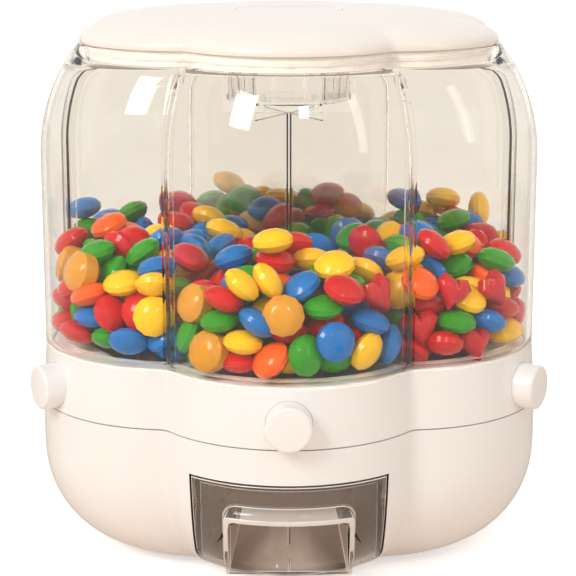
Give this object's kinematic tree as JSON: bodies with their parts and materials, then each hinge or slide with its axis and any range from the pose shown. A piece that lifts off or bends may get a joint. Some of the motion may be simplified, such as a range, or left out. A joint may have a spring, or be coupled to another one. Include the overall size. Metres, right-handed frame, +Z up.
{
  "type": "rotating candy dispenser",
  "caption": "Rotating dispenser for small sweets: clear lobed barrel on a turntable, push buttons with gates, catch drawer and domed lid.",
  "frame": {"origin": "middle of the underside, on the spindle's axis, on the surface that the feet stand on", "axes": "+Z up along the spindle; -Y to the front, where the drawer opens; +X to the right seen from the front"},
  "size_m": [0.2044, 0.227, 0.2145],
  "materials": {
    "white_plastic": "injection-moulded warm white ABS, gloss",
    "clear_plastic": "injection-moulded clear PS, polished",
    "smoked_plastic": "injection-moulded smoked PS, polished",
    "slide_plastic": "moulded natural acetal",
    "steel": "plated steel",
    "foot_rubber": "soft pale rubber",
    "seal_rubber": "soft pale silicone"
  },
  "bodies": {
    "base": {"base_bowl": "white_plastic", "base_deck": "white_plastic", "base_screws": "steel", "rubber_feet": "foot_rubber", "slide_ring": "slide_plastic", "spindle_post": "steel", "spindle_washer": "steel", "spindle_screw": "steel", "detent_leaf": "slide_plastic"},
    "carousel": {"ring_housing": "white_plastic", "carousel_plate": "white_plastic", "hub_bush": "slide_plastic", "carousel_screws": "steel", "hopper_floor": "white_plastic", "clear_barrel": "clear_plastic", "barrel_gasket": "seal_rubber", "divider_star": "clear_plastic", "gate_spring_1": "steel", "gate_spring_2": "steel", "gate_spring_3": "steel", "gate_spring_4": "steel", "gate_spring_5": "steel", "gate_spring_6": "steel"},
    "push_1": {"button_1": "white_plastic", "gate_slide_1": "slide_plastic"},
    "push_2": {"button_2": "white_plastic", "gate_slide_2": "slide_plastic"},
    "push_3": {"button_3": "white_plastic", "gate_slide_3": "slide_plastic"},
    "push_4": {"button_4": "white_plastic", "gate_slide_4": "slide_plastic"},
    "push_5": {"button_5": "white_plastic", "gate_slide_5": "slide_plastic"},
    "push_6": {"button_6": "white_plastic", "gate_slide_6": "slide_plastic"},
    "drawer": {"catch_drawer": "smoked_plastic"},
    "lid": {"lid_cover": "white_plastic", "lid_seal": "seal_rubber", "lid_centre_cap": "white_plastic"},
    "basket": {"desiccant_basket": "clear_plastic"}
  },
  "joints": [
    {"name": "carousel_spin", "type": "hinge", "parent": "base", "child": "carousel", "pos_m": [0, 0, 0.0606], "axis": [0, 0, 1], "continuous": true, "deforming": ["detent_leaf"]},
    {"name": "button_1_press", "type": "slide", "parent": "carousel", "child": "push_1", "axis": [0, 1, 0], "range_m": [0, 0.01], "stiffness_N_per_m": 120, "springref_m": -0.004, "deforming": ["gate_spring_1"]},
    {"name": "button_2_press", "type": "slide", "parent": "carousel", "child": "push_2", "axis": [-0.866, 0.5, 0], "range_m": [0, 0.01], "stiffness_N_per_m": 120, "springref_m": -0.004, "deforming": ["gate_spring_2"]},
    {"name": "button_3_press", "type": "slide", "parent": "carousel", "child": "push_3", "axis": [-0.866, -0.5, 0], "range_m": [0, 0.01], "stiffness_N_per_m": 120, "springref_m": -0.004, "deforming": ["gate_spring_3"]},
    {"name": "button_4_press", "type": "slide", "parent": "carousel", "child": "push_4", "axis": [0, -1, 0], "range_m": [0, 0.01], "stiffness_N_per_m": 120, "springref_m": -0.004, "deforming": ["gate_spring_4"]},
    {"name": "button_5_press", "type": "slide", "parent": "carousel", "child": "push_5", "axis": [0.866, -0.5, 0], "range_m": [0, 0.01], "stiffness_N_per_m": 120, "springref_m": -0.004, "deforming": ["gate_spring_5"]},
    {"name": "button_6_press", "type": "slide", "parent": "carousel", "child": "push_6", "axis": [0.866, 0.5, 0], "range_m": [0, 0.01], "stiffness_N_per_m": 120, "springref_m": -0.004, "deforming": ["gate_spring_6"]},
    {"name": "drawer_slide", "type": "slide", "parent": "base", "child": "drawer", "axis": [0, -1, 0], "range_m": [0, 0.05]},
    {"name": "lid_lift", "type": "slide", "parent": "carousel", "child": "lid", "axis": [0, 0, 1], "range_m": [0, 0.06]},
    {"name": "basket_twist", "type": "hinge", "parent": "lid", "child": "basket", "pos_m": [0, 0, 0.204], "axis": [0, 0, 1], "range_deg": [0, 50]}
  ]
}
